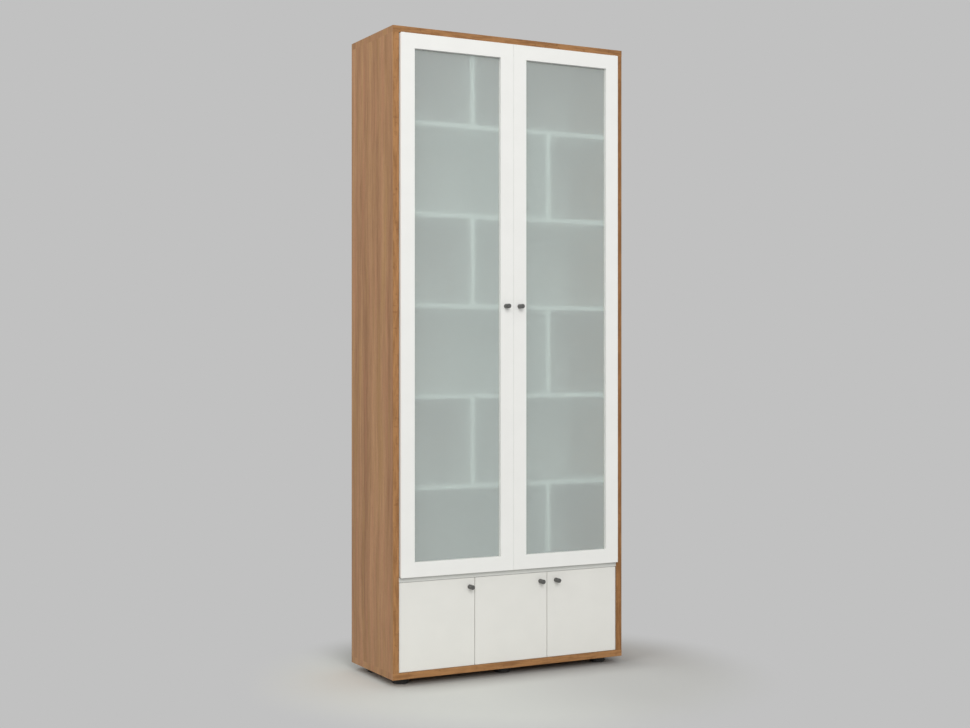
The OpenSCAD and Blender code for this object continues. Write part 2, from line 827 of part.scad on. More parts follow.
module bottom_rail(d) {
    color([0.94, 0.94, 0.92]) in_carcass() at_door(d) from_corner()
        translate([frame_w, 0, 0]) rail(rail_l);
}

module top_rail(d) {
    color([0.94, 0.94, 0.92]) in_carcass() at_door(d) from_corner()
        translate([frame_w, 0, upper_h]) mirror([0, 0, 1]) rail(rail_l);
}

module glass(d) {
    edge = frame_w - rebate_w + pane_gap;
    color([0.67, 0.7, 0.68, 0.6]) in_carcass() at_door(d) from_corner()
        translate([edge, glass_recess, edge])
            cube([upper_w - 2 * edge, glass_t, upper_h - 2 * edge]);
}

// A bead's section behind the glass: a strip with its inner back edge rounded.
module bead_section() {
    bead_t = frame_t - glass_recess - glass_t;
    bead_r = bead_t / 2;
    square([rebate_w - bead_r, bead_t]);
    square([rebate_w, bead_t - bead_r]);
    translate([rebate_w - bead_r, bead_t - bead_r]) circle(bead_r);
}

module glazing_beads(d) {
    edge = frame_w - rebate_w;
    color([0.9, 0.9, 0.88]) in_carcass() at_door(d) from_corner()
        translate([0, glass_recess + glass_t, 0]) {
            for (s = [0, 1]) translate([s * upper_w, 0, edge]) mirror([s, 0, 0])
                translate([edge, 0, 0]) linear_extrude(upper_h - 2 * edge) bead_section();
            for (s = [0, 1]) translate([frame_w, 0, s * upper_h]) mirror([0, 0, s])
                translate([seat_gap, 0, edge]) rotate([90, 0, 90])
                    linear_extrude(rail_l - 2 * seat_gap) mirror([1, -1, 0]) bead_section();
        }
}

// ---- Lower doors ----

// The panel's four front edges are rounded: the two sections meet in mitres.
module door_panel(d) {
    color([0.87, 0.87, 0.85]) in_carcass() at_door(d) difference() {
        from_corner() intersection() {
            linear_extrude(lower_h) mirror([1, -1, 0]) board_section(panel_t, lower_w, edge_r);
            rotate([90, 0, 90]) linear_extrude(lower_w) board_section(panel_t, lower_h, edge_r);
        }
        door_cuts(d);
    }
}

// ---- The nodes ----

left_side_panel();
right_side_panel();
top_board();
bottom_board();
back_panel();
middle_board();
lower_partition();
shelf(1);  // shelf_1
shelf(2);  // shelf_2
shelf(3);  // shelf_3
shelf(4);  // shelf_4
shelf(5);  // shelf_5
divider(1);  // divider_1
divider(2);  // divider_2
divider(3);  // divider_3
divider(4);  // divider_4
divider(5);  // divider_5
divider(6);  // divider_6
cam_discs();
cam_bolts();
dowels();
feet();
foot_screws();
carcass_hinge_leaves();
hinge_pins();
hinge_washers();
magnetic_catches();
carcass_screws();
hinge_stile(UPPER_LEFT);  // upper_left_hinge_stile
meeting_stile(UPPER_LEFT);  // upper_left_meeting_stile
top_rail(UPPER_LEFT);  // upper_left_top_rail
bottom_rail(UPPER_LEFT);  // upper_left_bottom_rail
glass(UPPER_LEFT);  // upper_left_glass
glazing_beads(UPPER_LEFT);  // upper_left_glazing_beads
knob(UPPER_LEFT);  // upper_left_knob
door_hinge_leaves(UPPER_LEFT);  // upper_left_hinge_leaves
door_screws(UPPER_LEFT);  // upper_left_screws
hinge_stile(UPPER_RIGHT);  // upper_right_hinge_stile
meeting_stile(UPPER_RIGHT);  // upper_right_meeting_stile
top_rail(UPPER_RIGHT);  // upper_right_top_rail
bottom_rail(UPPER_RIGHT);  // upper_right_bottom_rail
glass(UPPER_RIGHT);  // upper_right_glass
glazing_beads(UPPER_RIGHT);  // upper_right_glazing_beads
knob(UPPER_RIGHT);  // upper_right_knob
door_hinge_leaves(UPPER_RIGHT);  // upper_right_hinge_leaves
door_screws(UPPER_RIGHT);  // upper_right_screws
door_panel(LOWER_LEFT);  // lower_left_door
knob(LOWER_LEFT);  // lower_left_knob
door_hinge_leaves(LOWER_LEFT);  // lower_left_hinge_leaves
door_screws(LOWER_LEFT);  // lower_left_screws
door_panel(LOWER_MIDDLE);  // lower_middle_door
knob(LOWER_MIDDLE);  // lower_middle_knob
door_hinge_leaves(LOWER_MIDDLE);  // lower_middle_hinge_leaves
door_screws(LOWER_MIDDLE);  // lower_middle_screws
door_panel(LOWER_RIGHT);  // lower_right_door
knob(LOWER_RIGHT);  // lower_right_knob
door_hinge_leaves(LOWER_RIGHT);  // lower_right_hinge_leaves
door_screws(LOWER_RIGHT);  // lower_right_screws
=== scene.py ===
"""Finishes, turned knobs and a studio for a tall bookcase.

Two framed doors with frosted glass close six rows of shelves, and three plain doors close
the cupboard below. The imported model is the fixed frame: every length here is in metres in
that frame, X across the front, Y from the front to the back and Z up from the floor.
"""

import math

import bmesh
import bpy
from bpy.props import FloatProperty, FloatVectorProperty, IntProperty, PointerProperty
from mathutils import Matrix, Vector


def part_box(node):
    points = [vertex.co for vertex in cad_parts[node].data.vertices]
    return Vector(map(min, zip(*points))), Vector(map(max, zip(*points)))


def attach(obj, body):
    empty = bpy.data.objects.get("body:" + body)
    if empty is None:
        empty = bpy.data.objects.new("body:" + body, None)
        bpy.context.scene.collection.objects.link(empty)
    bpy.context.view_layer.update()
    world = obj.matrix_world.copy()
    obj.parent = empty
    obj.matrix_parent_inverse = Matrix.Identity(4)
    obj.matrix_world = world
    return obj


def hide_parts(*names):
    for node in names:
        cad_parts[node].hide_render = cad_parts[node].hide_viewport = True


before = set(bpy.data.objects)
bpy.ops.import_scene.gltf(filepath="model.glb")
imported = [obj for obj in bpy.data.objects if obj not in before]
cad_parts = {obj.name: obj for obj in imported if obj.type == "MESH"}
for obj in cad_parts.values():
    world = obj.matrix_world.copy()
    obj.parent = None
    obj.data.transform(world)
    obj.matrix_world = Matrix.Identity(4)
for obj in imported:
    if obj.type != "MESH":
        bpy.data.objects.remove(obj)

bl_info = {
    "name": "Bookcase with framed glass doors",
    "version": (1, 0, 0),
    "blender": (4, 5, 0),
    "location": "View3D > Sidebar > Bookcase",
    "description": "Finishes a packed bookcase and sets up its studio",
    "category": "Object",
}

# ---- What the frame gives ----

UPPER_DOORS = ("upper_left", "upper_right")
LOWER_DOORS = ("lower_left", "lower_middle", "lower_right")
DOORS = UPPER_DOORS + LOWER_DOORS
ROWS = 6

BOARD_FRONT_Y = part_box("top_board")[0].y
SHELF_FRONT_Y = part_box("shelf_1")[0].y
MIDDLE_FRONT_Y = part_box("middle_board")[0].y
PARTITION_FRONT_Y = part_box("lower_partition")[0].y
PANE_MIDDLE_Y = sum(corner.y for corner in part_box("upper_left_glass")) / 2

# ---- Colours ----


def srgb(red, green, blue):
    """A colour given as display values from 0 to 255, as the linear numbers Blender uses."""

    def linear(value):
        shown = value / 255
        return shown / 12.92 if shown <= 0.04045 else ((shown + 0.055) / 1.055) ** 2.4

    return tuple(linear(value) for value in (red, green, blue))


def grey(value):
    """A colour whose three numbers are the same."""
    return (value, value, value)


def toned(colour_numbers, factor):
    """A colour made darker or lighter by a factor."""
    return tuple(factor * number for number in colour_numbers)


# ---- Sizes and colours that a user would change ----


def colour(name, description, default):
    """A property for a colour of three linear numbers."""
    return FloatVectorProperty(
        name=name, description=description, default=default, subtype="COLOR", min=0, max=1
    )


def length(name, description, default):
    """A property for a length."""
    return FloatProperty(
        name=name, description=description, default=default, min=0, unit="LENGTH", precision=4
    )


def share(name, description, default):
    """A property for a share from 0 to 1."""
    return FloatProperty(
        name=name, description=description, default=default, min=0, max=1, subtype="FACTOR"
    )


def spot(name, description, default):
    """A property for a place in the frame."""
    return FloatVectorProperty(
        name=name, description=description, default=default, subtype="TRANSLATION", unit="LENGTH"
    )


def power(name, description, default):
    """A property for the power of a lamp."""
    return FloatProperty(name=name, description=description, default=default, unit="POWER")


def pixels(name, description, default):
    """A property for a distance in pixels of the view."""
    return FloatProperty(name=name, description=description, default=default, subtype="PIXEL")


class WoodDecor(bpy.types.PropertyGroup):
    """The wood decor of the outer boards."""

    tan: colour("Tan", "Lighter ground colour of the decor on the boards' faces", srgb(185, 141, 100))
    umber: colour("Umber", "Darker ground colour of the decor", srgb(144, 103, 68))
    straw: colour("Straw", "Colour of the yellower bands", srgb(171, 132, 81))
    russet: colour("Russet", "Colour of the redder bands", srgb(176, 124, 90))
    edge_tan: colour("Edge tan", "Ground colour of the edge bands", srgb(171, 124, 78))
    edge_umber: colour("Edge umber", "Darker colour of the edge bands", srgb(137, 95, 55))
    band_width: length("Band width", "Width of the broad bands in the decor", 0.05)
    streak_width: length("Streak width", "Width of the streaks in the decor", 0.013)
    fibre_width: length("Fibre width", "Width of the fibres in the decor", 0.0016)
    pore_width: length("Pore width", "Width of the pores in the decor", 0.0006)
    pore_length: length("Pore length", "Length of the pores in the decor", 0.012)
    roughness: share("Roughness", "Roughness of the decor", 0.5)


class WhiteFinishes(bpy.types.PropertyGroup):
    """The lacquers of the doors and the white inner boards."""

    frame_white: colour("Frame white", "Lacquer of the glass doors' frames", srgb(240, 240, 236))
    door_white: colour("Door white", "Lacquer of the lower doors", srgb(232, 231, 225))
    board_white: colour("Board white", "Face of the shelves, dividers and back", srgb(236, 237, 233))
    band_white: colour("Band white", "Edge band on the front of the inner boards", srgb(222, 223, 218))
    peel_width: length("Peel width", "Width of the dimples in the lacquer", 0.0022)
    roughness: share("Roughness", "Roughness of the lacquer", 0.42)


class FrostedGlass(bpy.types.PropertyGroup):
    """The etched panes of the upper doors."""

    tint: colour("Tint", "Colour of the pane", srgb(232, 240, 238))
    clearness: share("Clearness", "Share of the light that goes through the pane", 0.66)
    gloss: share("Gloss", "Roughness of the smooth front face", 0.1)
    frost: share("Frost", "Roughness of the etched back face", 0.13)
    haze: share("Haze", "Share of the etched back face that scatters light every way", 0.6)
    passing: colour("Let through", "What one face of a pane leaves of a lamp's light", (0.6, 0.612, 0.608))


class SmallParts(bpy.types.PropertyGroup):
    """Knobs, feet, fittings and other small parts."""

    knob_grey: colour("Knob grey", "Colour of the knobs", srgb(98, 98, 96))
    foot_black: colour("Foot black", "Colour of the feet", srgb(38, 37, 36))
    zinc: colour("Zinc", "Colour of the plated steel", srgb(188, 190, 194))
    beech: colour("Beech", "Colour of the dowels", srgb(214, 180, 138))
    plastic_white: colour("Plastic white", "Colour of the catches and beads", srgb(232, 232, 228))
    knob_segments: IntProperty(
        name="Knob segments", description="Steps round a knob", default=96, min=24, max=256
    )
    knob_round: length("Knob rounding", "Rounding of a knob's front rim", 0.002)
    knob_dish: length("Knob dish", "Depth of the shallow dish in a knob's face", 0.0003)
    knob_seat: length("Knob seat", "Height of the ring that a knob stands on", 0.0008)
    seat_inset: length("Seat inset", "How far that ring stands back from the knob's side", 0.0008)
    seat_round: length("Seat rounding", "Rounding of the knob's rim over that ring", 0.0004)


class Studio(bpy.types.PropertyGroup):
    """The camera, the lamps, the floor and the backdrop."""

    camera_place: spot("Camera place", "Where the camera stands", (-2.5146, -4.69725, 1.09067))
    camera_turn: FloatProperty(
        name="Camera turn",
        description="How far the level camera is turned from looking along +Y",
        default=math.radians(-27.96),
        subtype="ANGLE",
        unit="ROTATION",
    )
    camera_lens: FloatProperty(
        name="Lens", description="Focal length of the camera", default=55.83, unit="CAMERA"
    )
    horizon_rise: pixels("Horizon rise", "How far the horizon lies above the view's middle", 5.08)
    axis_aside: pixels("Axis aside", "How far the camera's axis lies right of the view's middle", 0.4)
    backdrop: colour("Backdrop", "Colour of the backdrop", srgb(193, 193, 193))
    floor_tone: colour("Floor", "Colour of the floor round the bookcase", srgb(205, 205, 202))
    # Painted light: the floor is paler at the left than at the right.
    floor_painted_lit_left: colour("Floor at the left", "Colour of the floor at the left", srgb(219, 220, 215))
    ambient: FloatProperty(
        name="Ambient", description="Strength of the light from all round", default=0.48, min=0
    )
    front_power: power("Front power", "Power of the lamp in front", 402)
    front_place: spot("Front lamp", "Where the lamp in front hangs", (-2.25, -8.2, 4.8))
    left_power: power("Left power", "Power of the lamp at the left", 104)
    left_place: spot("Left lamp", "Where the lamp at the left hangs", (-5.0, -0.8, 4.2))
    lamp_size: length("Lamp size", "Side of each square lamp", 4.2)
    lamp_aim: spot("Lamp aim", "What both lamps point at", (0.0, 0.0, 1.1))


SETTINGS = {
    "bookcase_wood": WoodDecor,
    "bookcase_whites": WhiteFinishes,
    "bookcase_glass": FrostedGlass,
    "bookcase_small_parts": SmallParts,
    "bookcase_studio": Studio,
}

# ---- Shader maths ----


class Wire:
    """A node's output, on which sums, products and comparisons add Math nodes."""

    def __init__(self, finish, socket):
        self.finish = finish
        self.socket = socket

    def maths(self, operation, first, second):
        """Adds a Math node on two values."""
        return self.finish.node("ShaderNodeMath", {"operation": operation}, {0: first, 1: second})

    def __add__(self, other):
        return self.maths("ADD", self, other)

    __radd__ = __add__

    def __sub__(self, other):
        return self.maths("SUBTRACT", self, other)

    def __rsub__(self, other):
        return self.maths("SUBTRACT", other, self)

    def __mul__(self, other):
        return self.maths("MULTIPLY", self, other)

    __rmul__ = __mul__

    def __gt__(self, other):
        return self.maths("GREATER_THAN", self, other)

    def __lt__(self, other):
        return self.maths("LESS_THAN", self, other)

    def __abs__(self):
        return self.maths("ABSOLUTE", self, 0)


class Finish:
    """A new material or world while its nodes are being made."""

    def __init__(self, target):
        self.target = target
        target.use_nodes = True
        self.tree = target.node_tree
        self.tree.nodes.clear()

    def node(self, kind, settings=None, sockets=None, output=0):
        """Adds a node: its settings first, then the values or links of its sockets. A plain
        colour has three numbers. It gives back the named output, or nothing for None."""
        made = self.tree.nodes.new(kind)
        for name, value in (settings or {}).items():
            setattr(made, name, value)
        for name, value in (sockets or {}).items():
            socket = made.inputs[name]
            if isinstance(value, Wire):
                self.tree.links.new(value.socket, socket)
            elif socket.type == "RGBA":
                socket.default_value = (*value, 1.0)
            else:
                socket.default_value = value
        return None if output is None else Wire(self, made.outputs[output])

    def place(self):
        """Where a point of the surface lies in the frame."""
        return self.node("ShaderNodeTexCoord", output="Object")

    def facing(self, axis):
        """How squarely the surface looks along X, Y or Z, from 0 to 1."""
        return abs(self.part(self.node("ShaderNodeTexCoord", output="Normal"), axis))

    def part(self, vector, axis):
        """A vector's X, Y or Z."""
        return self.node("ShaderNodeSeparateXYZ", sockets={0: vector}, output="XYZ".index(axis))

    def vector(self, x, y, z):
        """A vector of three values."""
        return self.node("ShaderNodeCombineXYZ", sockets={0: x, 1: y, 2: z})

    def scaled(self, vector, x, y, z):
        """A vector stretched by its own number along each axis."""
        return self.node("ShaderNodeVectorMath", {"operation": "MULTIPLY"}, {0: vector, 1: (x, y, z)})

    def moved(self, vector, way):
        """A vector with another one added."""
        return self.node("ShaderNodeVectorMath", {"operation": "ADD"}, {0: vector, 1: way})

    def distance(self, vector, point):
        """How far a vector lies from a point."""
        return self.node(
            "ShaderNodeVectorMath", {"operation": "DISTANCE"}, {0: vector, 1: point}, output=1
        )

    def noise(self, vector, scale=1.0, detail=2.0, roughness=0.5):
        """Noise about 0.5, with about so many waves to the metre as scale says."""
        sockets = {"Vector": vector, "Scale": scale, "Detail": detail, "Roughness": roughness}
        return self.node("ShaderNodeTexNoise", sockets=sockets)

    def ramp(self, value, low, high, to_low=0.0, to_high=1.0, smooth=True):
        """Value turned from the range low to high into to_low to to_high, and held there."""
        return self.node(
            "ShaderNodeMapRange",
            {"interpolation_type": "SMOOTHSTEP" if smooth else "LINEAR", "clamp": True},
            {0: value, 1: low, 2: high, 3: to_low, 4: to_high},
        )

    def mix(self, factor, first, second, blend="MIX"):
        """The first colour where factor is 0, the second where it is 1, and both between."""
        return self.node(
            "ShaderNodeMix",
            {"data_type": "RGBA", "blend_type": blend},
            {0: factor, 6: first, 7: second},
            output=2,
        )

    def choose(self, factor, first, second):
        """The first vector where factor is 0, and the second where it is 1."""
        return self.node(
            "ShaderNodeMix", {"data_type": "VECTOR"}, {0: factor, 4: first, 5: second}, output=1
        )

    def either(self, factor, first, second):
        """The first shader where factor is 0, the second where it is 1, and both between."""
        return self.node("ShaderNodeMixShader", sockets={0: factor, 1: first, 2: second})

    def bump(self, height, distance, strength):
        """A normal that follows a height, which rises by distance from 0 to 1."""
        return self.node(
            "ShaderNodeBump", sockets={"Height": height, "Distance": distance, "Strength": strength}
        )

    def principled(self, **sockets):
        """A Principled shader. Socket names are written with _ for a space."""
        named = {name.replace("_", " "): value for name, value in sockets.items()}
        return self.node("ShaderNodeBsdfPrincipled", sockets=named)

    def done(self, surface, kind="ShaderNodeOutputMaterial"):
        """Shows a shader, and gives back the finished material or world."""
        self.node(kind, sockets={"Surface": surface}, output=None)
        return self.target


def start(name):
    """A new material with this name, and the place of its points."""
    finish = Finish(bpy.data.materials.new(name))
    return finish, finish.place()


def varied(middle, spread, noise):
    """A value that swings by half of spread to each side as a noise goes from 0 to 1."""
    return middle + spread * (noise - 0.5)


# ---- Finishes ----

BAND_THICKNESS = 0.0011
SWAY_REACH = 0.045
TURNING = "turning"

# Where a fade starts and ends.
JOINT_FADE = (0.00008, 0.00022)
FRONT_FADE = (0.05, 0.2)

# How many waves of a noise there are to the metre, along X, Y and Z.
SWAY_WAVES = (2.5, 2.5, 1.7)
RIPPLE_WAVES = (60, 60, 95)
FLECK_WAVES = (45, 45, 70)
SCRATCH_WAVES = (300, 2600, 2600)
BEECH_WAVES = (120, 1500, 1500)


def edge_band(finish, place, front_y):
    """Two masks: 1 on a board's front edge band, and 1 on the thin joint behind the band. The
    joint fades with the distance from its middle, and as a surface turns to the front."""
    depth = finish.part(place, "Y") - (front_y + BAND_THICKNESS)
    line = 1 - finish.ramp(abs(depth), *JOINT_FADE)
    return depth < 0, line * (1 - finish.ramp(finish.facing("Y"), *FRONT_FADE))


def strands(finish, place, width, run, detail, roughness=0.5):
    """Noise drawn out along the grain, with its width and its run in metres."""
    stretched = finish.scaled(place, 1 / width, 1 / width, 1 / run)
    return finish.noise(stretched, detail=detail, roughness=roughness)


def decor_face(finish, place, settings):
    """Colour of the decor on a board's faces: bands and streaks, here redder, there yellower."""
    half_band = settings.band_width * 0.5
    thread_width = settings.streak_width * 0.6
    bands = strands(finish, place, settings.band_width, run=1.7, detail=2)
    streaks = strands(finish, place, settings.streak_width, run=0.5, detail=3, roughness=0.6)
    threads = strands(finish, place, thread_width, run=0.09, detail=3, roughness=0.65)
    warmth = strands(finish, place, half_band, run=0.6, detail=3, roughness=0.65)
    figure = bands * 0.42 + streaks * 0.33 + threads * 0.25
    lightness = finish.ramp(figure, 0.38, 0.62, smooth=False)
    ground = finish.mix(lightness, settings.umber, settings.tan)
    redder = finish.ramp(warmth, 0.5, 0.66) * 0.5
    yellower = (1 - finish.ramp(warmth, 0.34, 0.5)) * 0.5
    return finish.mix(yellower, finish.mix(redder, ground, settings.russet), settings.straw)


def decor_edge(finish, place, settings, shade):
    """Colour of the edge bands, which have shorter patches, ripples and flecks. The shade
    darkens them as painted shade.
    """
    patches = strands(finish, place, width=0.01, run=0.09, detail=3, roughness=0.65)
    ripple = finish.noise(finish.scaled(place, *RIPPLE_WAVES), detail=2)
    specks = finish.noise(finish.scaled(place, *FLECK_WAVES), detail=1)
    flecks = finish.ramp(specks, 0.64, 0.7)
    dark = finish.ramp(patches, 0.4, 0.66) * 0.75 + (ripple - 0.5) * 0.35
    return finish.mix(dark + flecks * 0.4 + shade, settings.edge_tan, settings.edge_umber)


def wood_decor(name, settings, level, painted_edge_shade=0.0, offset=(0.0, 0.0, 0.0)):
    """Straight-grained wood decor. The grain runs up on upright boards and on the ends of
    level ones, and across on the rest of a level board. The offset keeps boards apart in the
    pattern, and the edge shade darkens their edges as painted shade."""
    finish, place = start(name)
    band, joint = edge_band(finish, place, BOARD_FRONT_Y)
    if level:
        turned = finish.vector(*(finish.part(place, axis) for axis in "ZYX"))
        place = finish.choose(finish.facing("X") > 0.7, turned, place)
    place = finish.moved(place, offset)
    wander = finish.noise(finish.scaled(place, *SWAY_WAVES), detail=2) - 0.5
    place = finish.moved(place, finish.vector(wander * SWAY_REACH, wander * SWAY_REACH, 0.0))

    face = decor_face(finish, place, settings)
    edge = decor_edge(finish, place, settings, painted_edge_shade)
    ground = finish.mix((finish.facing("Y") > 0.4) + band, face, edge)
    fibres = strands(finish, place, settings.fibre_width, run=0.05, detail=2)
    fibre_tone = finish.mix(fibres, grey(0.85), (1.15, 1.14, 1.13))
    grained = finish.mix(1.0, ground, fibre_tone, "MULTIPLY")
    pits = strands(finish, place, settings.pore_width, run=settings.pore_length, detail=0)
    pores = finish.ramp(pits, 0.62, 0.74)
    shade = finish.mix(pores * 0.4, grained, settings.umber)
    return finish.done(
        finish.principled(
            Base_Color=finish.mix(joint * 0.6, shade, toned(settings.edge_umber, 0.3)),
            Roughness=varied(settings.roughness, 0.08, fibres) + 0.12 * pores,
            Specular_IOR_Level=0.3,
            Normal=finish.bump(fibres * 0.35 - pores - joint, distance=0.00006, strength=0.6),
        )
    )


def lacquer(name, tone, settings):
    """Sprayed satin lacquer: faint clouds in the tone and shallow dimples."""
    finish, place = start(name)
    clouds = finish.noise(place, scale=12, detail=2)
    peel = finish.noise(place, scale=1 / settings.peel_width, detail=2)
    dust = finish.noise(place, scale=2400, detail=0)
    return finish.done(
        finish.principled(
            Base_Color=finish.mix(finish.ramp(clouds, 0.35, 0.65), toned(tone, 0.985), tone),
            Roughness=varied(varied(settings.roughness, 0.05, clouds), 0.03, dust),
            Specular_IOR_Level=0.4,
            Normal=finish.bump(peel, distance=0.00008, strength=0.35),
        )
    )


def melamine(name, settings, front_y, painted_band_shading=1.0):
    """White melamine with a fine pearl grain, for a board whose front, at front_y, has a greyer
    edge band with a thin joint behind it. A factor above 1 paints light on the band, and one
    below 1 paints shade on it."""
    finish, place = start(name)
    grain = finish.noise(place, scale=900, detail=2)
    clouds = finish.noise(place, scale=6, detail=1)
    band, joint = edge_band(finish, place, front_y)
    tone = settings.board_white
    face = finish.mix(clouds, toned(tone, 0.97), tone)
    ground = finish.mix(band, face, toned(settings.band_white, painted_band_shading))
    return finish.done(
        finish.principled(
            Base_Color=finish.mix(joint * 0.35, ground, toned(tone, 0.6)),
            Roughness=varied(settings.roughness + 0.08, 0.08, grain),
            Specular_IOR_Level=0.4,
            Normal=finish.bump(grain - joint, distance=0.00005, strength=0.5),
        )
    )


def back_board(name, settings):
    """White hardboard: a smooth face with faint clouds and fibres."""
    finish, place = start(name)
    clouds = finish.noise(place, scale=6, detail=2)
    grain = finish.noise(place, scale=700, detail=2)
    tone = settings.board_white
    return finish.done(
        finish.principled(
            Base_Color=finish.mix(clouds, toned(tone, 0.96), tone),
            Roughness=varied(settings.roughness + 0.15, 0.08, grain),
            Specular_IOR_Level=0.4,
            Normal=finish.bump(grain, distance=0.00006, strength=0.5),
        )
    )


def frosted_glass(name, settings):
    """Safety glass with a smooth front and an etched back, which scatters most of the light
    that it lets through. Rays from lamps pass it, so that the shelves behind are lit."""
    finish, place = start(name)
    clouds = finish.noise(place, scale=5, detail=1)
    etched = finish.part(place, "Y") > PANE_MIDDLE_Y
    roughness = settings.gloss + etched * (settings.frost - settings.gloss)
    pane = finish.principled(
        Base_Color=settings.tint,
        Roughness=varied(roughness, 0.03, clouds),
        IOR=1.45,
        Transmission_Weight=settings.clearness,
        Specular_IOR_Level=0.5,
    )
    haze = finish.node("ShaderNodeBsdfTranslucent", sockets={0: settings.tint})
    hazy = finish.either(etched * settings.haze, pane, haze)
    passing = finish.node("ShaderNodeBsdfTransparent", sockets={0: settings.passing})
    lamps = finish.node("ShaderNodeLightPath", output="Is Shadow Ray")
    return finish.done(finish.either(lamps, hazy, passing))


def moulded_plastic(name, tone, roughness, grain_width):
    """Injection-moulded plastic with a spark-eroded skin."""
    finish, place = start(name)
    grain = finish.noise(place, scale=1 / grain_width, detail=2)
    clouds = finish.noise(place, scale=30, detail=1)
    return finish.done(
        finish.principled(
            Base_Color=finish.mix(clouds, toned(tone, 0.9), tone),
            Roughness=varied(roughness, 0.12, grain),
            Normal=finish.bump(grain, distance=0.00008, strength=0.5),
        )
    )


def turned_metal(name, tone):
    """Grey coated metal that still shows the fine rings of the lathe."""
    finish, place = start(name)
    speckle = finish.noise(place, scale=2600, detail=1)
    clouds = finish.noise(place, scale=160, detail=2)
    along = finish.node("ShaderNodeAttribute", {"attribute_name": TURNING}, output="Fac")
    rings = finish.noise(finish.vector(along, 0.0, 0.0), scale=3200, detail=1)
    return finish.done(
        finish.principled(
            Base_Color=finish.mix(clouds, toned(tone, 0.85), tone),
            Metallic=0.35,
            Roughness=varied(0.46, 0.1, speckle),
            Normal=finish.bump(speckle + rings * 0.7, distance=0.00003, strength=0.4),
        )
    )


def zinc_plate(name, tone):
    """Bright zinc on stamped steel, a little cloudy."""
    finish, place = start(name)
    clouds = finish.noise(place, scale=240, detail=3)
    scratches = finish.noise(finish.scaled(place, *SCRATCH_WAVES), detail=2)
    return finish.done(
        finish.principled(
            Base_Color=finish.mix(clouds, toned(tone, 0.78), tone),
            Metallic=1.0,
            Roughness=varied(varied(0.3, 0.14, clouds), 0.08, scratches),
            Normal=finish.bump(scratches, distance=0.00002, strength=0.4),
        )
    )


def beech_wood(name, tone):
    """Turned beech with short flecks."""
    finish, place = start(name)
    grain = finish.noise(finish.scaled(place, *BEECH_WAVES), detail=3)
    return finish.done(
        finish.principled(
            Base_Color=finish.mix(grain, toned(tone, 0.75), tone),
            Roughness=0.6,
            Normal=finish.bump(grain, distance=0.00005, strength=0.5),
        )
    )


def dress(nodes, material):
    """Puts one material in every slot of the named CAD nodes."""
    for name in nodes:
        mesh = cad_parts[name].data
        mesh.materials.clear()
        mesh.materials.append(material)


# ---- Turned knobs ----

SAME_PLACE = 1e-7
ON_RIM = 1e-6
SHARPEST_SMOOTH = math.radians(35)
FRONT_RIM_STEPS = 5
SEAT_RIM_STEPS = 3
DISH_SHARE = 0.6


def piece(name, shape, material, body, replaced):
    """Makes a piece of a finished bmesh, in place, and hangs it on its body."""
    mesh = bpy.data.meshes.new(name)
    shape.to_mesh(mesh)
    shape.free()
    made = bpy.data.objects.new(name, mesh)
    mesh.materials.append(material)
    bpy.context.scene.collection.objects.link(made)
    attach(made, body)
    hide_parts(*replaced)
    return made


def lathe(profile, segments):
    """Spins a profile of (radius, height) points round Z. It starts and ends on the axis."""
    shape = bmesh.new()
    corners = [shape.verts.new((radius, 0, height)) for radius, height in profile]
    sides = [shape.edges.new(pair) for pair in zip(corners, corners[1:])]
    bmesh.ops.spin(
        shape,
        geom=corners + sides,
        cent=(0, 0, 0),
        axis=(0, 0, 1),
        dvec=(0, 0, 0),
        angle=math.tau,
        steps=segments,
        use_merge=True,
        use_duplicate=False,
    )
    bmesh.ops.remove_doubles(shape, verts=shape.verts, dist=SAME_PLACE)
    bmesh.ops.recalc_face_normals(shape, faces=shape.faces)
    return shape


def round_rim(shape, radius, height, rounding, steps):
    """Rounds the ring of edges at one radius and height."""

    def on_rim(corner):
        out = math.hypot(corner.co.x, corner.co.y)
        return abs(out - radius) < ON_RIM and abs(corner.co.z - height) < ON_RIM

    rim = [edge for edge in shape.edges if all(on_rim(corner) for corner in edge.verts)]
    bmesh.ops.bevel(
        shape,
        geom=rim,
        offset=rounding,
        offset_type="OFFSET",
        segments=steps,
        profile=0.5,
        affect="EDGES",
        material=-1,
        clamp_overlap=True,
    )


def shade_round(mesh):
    """Shades a mesh smooth but for its sharp edges."""
    mesh.shade_smooth()
    shape = bmesh.new()
    shape.from_mesh(mesh)
    for edge in shape.edges:
        if edge.calc_face_angle(math.pi) > SHARPEST_SMOOTH:
            mesh.edges[edge.index].use_edge_sharp = True
    shape.free()


def mark_turning(mesh, foot):
    """Stores how far each corner lies along the turned profile, for the rings of the lathe."""
    marks = mesh.attributes.new(TURNING, "FLOAT", "POINT")
    for corner, mark in zip(mesh.vertices, marks.data):
        way = corner.co - foot
        mark.value = math.hypot(way.x, way.z) - way.y


def turn_knob(door, material, settings):
    """A plain round knob on a thin seat, its axis square to the door."""
    node = door + "_knob"
    low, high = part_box(node)
    radius = (high.x - low.x) / 2
    reach = high.y - low.y
    seat = settings.knob_seat
    dish = reach - settings.knob_dish
    profile = [
        (0, 0),
        (radius - settings.seat_inset, 0),
        (radius - settings.seat_inset, seat),
        (radius, seat),
        (radius, reach),
        (radius * DISH_SHARE, dish),
        (0, dish),
    ]
    shape = lathe(profile, settings.knob_segments)
    round_rim(shape, radius, seat, settings.seat_round, SEAT_RIM_STEPS)
    round_rim(shape, radius, reach, settings.knob_round, FRONT_RIM_STEPS)
    foot = Vector(((low.x + high.x) / 2, high.y, (low.z + high.z) / 2))
    to_door = Matrix.Translation(foot) @ Matrix.Rotation(math.radians(90), 4, "X")
    bmesh.ops.transform(shape, matrix=to_door, verts=shape.verts)
    body = door + "_door"
    made = piece(door + "_turned_knob", shape, material, body, [node])
    mark_turning(made.data, foot)
    shade_round(made.data)


# ---- Studio ----

